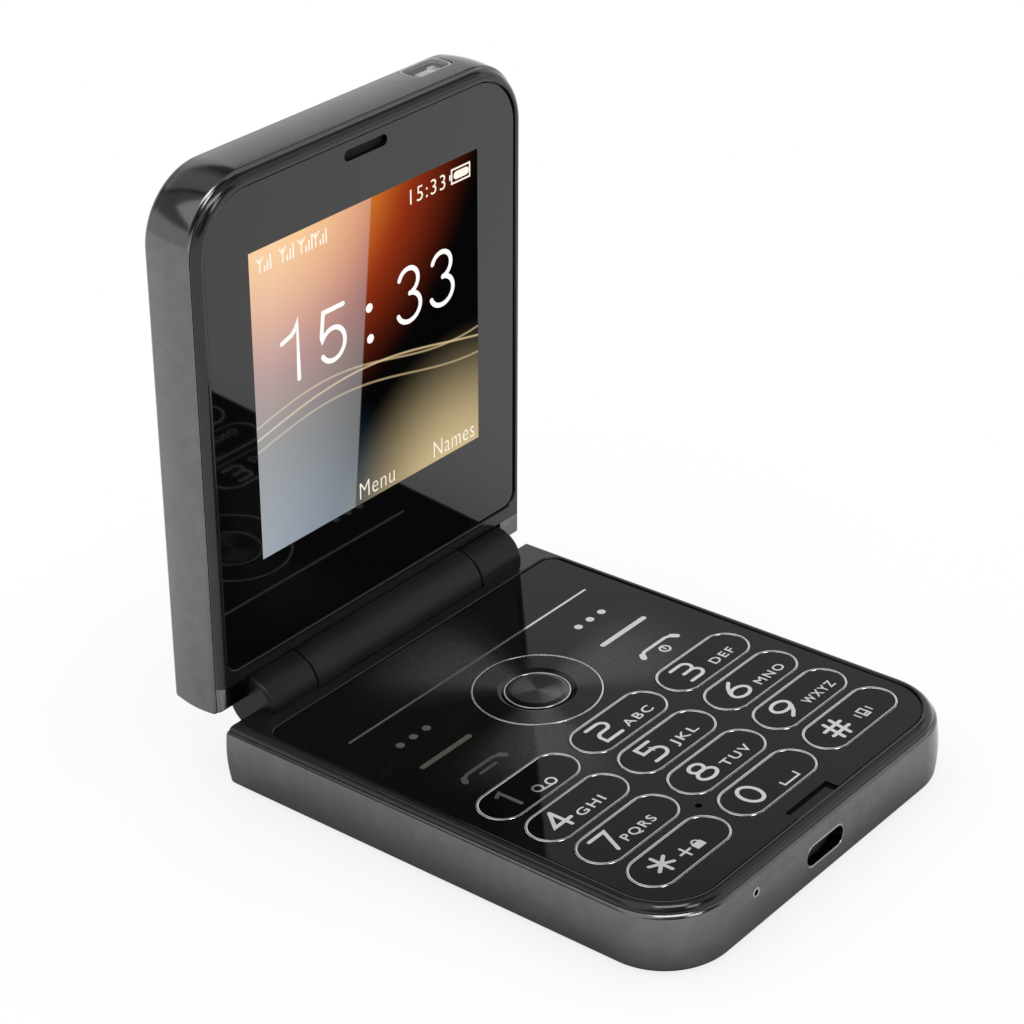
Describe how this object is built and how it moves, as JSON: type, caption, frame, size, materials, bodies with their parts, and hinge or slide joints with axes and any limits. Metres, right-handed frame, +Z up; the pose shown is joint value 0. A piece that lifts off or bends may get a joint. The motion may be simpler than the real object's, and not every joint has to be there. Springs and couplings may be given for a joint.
{
  "type": "flip phone",
  "caption": "Clamshell phone: a keypad half and a screen half, each in a dark metal band, joined by a barrel hinge with sprung keys.",
  "frame": {"origin": "centre of the keypad half's flat underside, on the surface the phone stands on", "axes": "+Z up out of the keypad, +Y from the free end towards the hinge, +X to the right as seen by the user"},
  "size_m": [0.0726, 0.0976, 0.0985],
  "materials": {
    "gunmetal_plating": "dark polished plating",
    "rim_gloss_black": "glossy moulded black",
    "panel_gloss_black": "piano black with printed marks",
    "key_gloss_black": "mirror black with printed marks",
    "nav_ring_black": "black, spun finish",
    "ok_button_black": "black, spun finish",
    "barrel_satin_black": "satin",
    "cover_black": "fine matt texture",
    "inner_black_plastic": "matt",
    "screen_glass": "black-backed glass",
    "screen": "lit screen",
    "light_guide": "milky",
    "torch_clear": "clear",
    "lamp_yellow": "phosphor",
    "board_green": "solder resist",
    "sheet_steel": "brushed",
    "contact_gold": "plated",
    "battery_wrap": "satin",
    "rubber_grey": "matt",
    "mesh_black": "woven"
  },
  "bodies": {
    "base": {"base_frame": "gunmetal_plating", "back_cover": "cover_black", "base_chassis": "inner_black_plastic", "battery": "battery_wrap", "battery_contacts": "contact_gold", "main_board": "board_green", "shield_cans": "sheet_steel", "sim_holders": "sheet_steel", "charging_port_shell": "sheet_steel", "charging_port_tongue": "inner_black_plastic", "microphones": "contact_gold", "loudspeaker": "inner_black_plastic", "vibration_motor": "sheet_steel", "antenna": "contact_gold", "base_screws": "sheet_steel", "dome_sheet": "sheet_steel", "keymat": "rubber_grey", "keypad_deck": "rim_gloss_black", "keypad_panel": "panel_gloss_black", "hinge_cam_housing": "sheet_steel", "hinge_pin": "sheet_steel"},
    "key_1": {"key_1": "key_gloss_black"},
    "key_2": {"key_2": "key_gloss_black"},
    "key_3": {"key_3": "key_gloss_black"},
    "key_4": {"key_4": "key_gloss_black"},
    "key_5": {"key_5": "key_gloss_black"},
    "key_6": {"key_6": "key_gloss_black"},
    "key_7": {"key_7": "key_gloss_black"},
    "key_8": {"key_8": "key_gloss_black"},
    "key_9": {"key_9": "key_gloss_black"},
    "key_star": {"key_star": "key_gloss_black"},
    "key_0": {"key_0": "key_gloss_black"},
    "key_hash": {"key_hash": "key_gloss_black"},
    "nav_rocker": {"nav_rocker_pad": "inner_black_plastic"},
    "nav_ring": {"nav_ring": "nav_ring_black"},
    "ok_button": {"ok_button": "ok_button_black"},
    "lid": {"lid_frame": "gunmetal_plating", "lid_back_cover": "cover_black", "lid_midframe": "sheet_steel", "lid_bezel": "rim_gloss_black", "lid_hinge_cover": "gunmetal_plating", "lid_glass": "screen_glass", "display_panel": "screen", "backlight_unit": "light_guide", "lid_board": "board_green", "display_flex": "contact_gold", "earpiece": "inner_black_plastic", "earpiece_mesh": "mesh_black", "torch_lens": "torch_clear", "torch_led": "lamp_yellow", "lid_magnet": "sheet_steel", "lid_screws": "sheet_steel", "hinge_barrel": "barrel_satin_black", "hinge_cam_follower": "sheet_steel", "hinge_spring": "sheet_steel"}
  },
  "joints": [
    {"name": "lid_hinge", "type": "hinge", "parent": "base", "child": "lid", "pos_m": [0, 0.04355, 0.0113], "axis": [-1, 0, 0], "range_deg": [-86.8, 73.2]},
    {"name": "key_1_press", "type": "slide", "parent": "base", "child": "key_1", "axis": [0, 0, -1], "range_m": [0, 0.00035], "stiffness_N_per_m": 400},
    {"name": "key_2_press", "type": "slide", "parent": "base", "child": "key_2", "axis": [0, 0, -1], "range_m": [0, 0.00035], "stiffness_N_per_m": 400},
    {"name": "key_3_press", "type": "slide", "parent": "base", "child": "key_3", "axis": [0, 0, -1], "range_m": [0, 0.00035], "stiffness_N_per_m": 400},
    {"name": "key_4_press", "type": "slide", "parent": "base", "child": "key_4", "axis": [0, 0, -1], "range_m": [0, 0.00035], "stiffness_N_per_m": 400},
    {"name": "key_5_press", "type": "slide", "parent": "base", "child": "key_5", "axis": [0, 0, -1], "range_m": [0, 0.00035], "stiffness_N_per_m": 400},
    {"name": "key_6_press", "type": "slide", "parent": "base", "child": "key_6", "axis": [0, 0, -1], "range_m": [0, 0.00035], "stiffness_N_per_m": 400},
    {"name": "key_7_press", "type": "slide", "parent": "base", "child": "key_7", "axis": [0, 0, -1], "range_m": [0, 0.00035], "stiffness_N_per_m": 400},
    {"name": "key_8_press", "type": "slide", "parent": "base", "child": "key_8", "axis": [0, 0, -1], "range_m": [0, 0.00035], "stiffness_N_per_m": 400},
    {"name": "key_9_press", "type": "slide", "parent": "base", "child": "key_9", "axis": [0, 0, -1], "range_m": [0, 0.00035], "stiffness_N_per_m": 400},
    {"name": "key_star_press", "type": "slide", "parent": "base", "child": "key_star", "axis": [0, 0, -1], "range_m": [0, 0.00035], "stiffness_N_per_m": 400},
    {"name": "key_0_press", "type": "slide", "parent": "base", "child": "key_0", "axis": [0, 0, -1], "range_m": [0, 0.00035], "stiffness_N_per_m": 400},
    {"name": "key_hash_press", "type": "slide", "parent": "base", "child": "key_hash", "axis": [0, 0, -1], "range_m": [0, 0.00035], "stiffness_N_per_m": 400},
    {"name": "nav_tip_front_back", "type": "hinge", "parent": "base", "child": "nav_rocker", "pos_m": [0, 0.01106, 0.0096], "axis": [1, 0, 0], "range_deg": [-1.8, 1.8], "stiffness_Nm_per_rad": 0.3},
    {"name": "nav_tip_left_right", "type": "hinge", "parent": "nav_rocker", "child": "nav_ring", "pos_m": [0, 0.01106, 0.0096], "axis": [0, 1, 0], "range_deg": [-1.8, 1.8], "stiffness_Nm_per_rad": 0.3},
    {"name": "ok_press", "type": "slide", "parent": "base", "child": "ok_button", "axis": [0, 0, -1], "range_m": [0, 0.00035], "stiffness_N_per_m": 400}
  ]
}
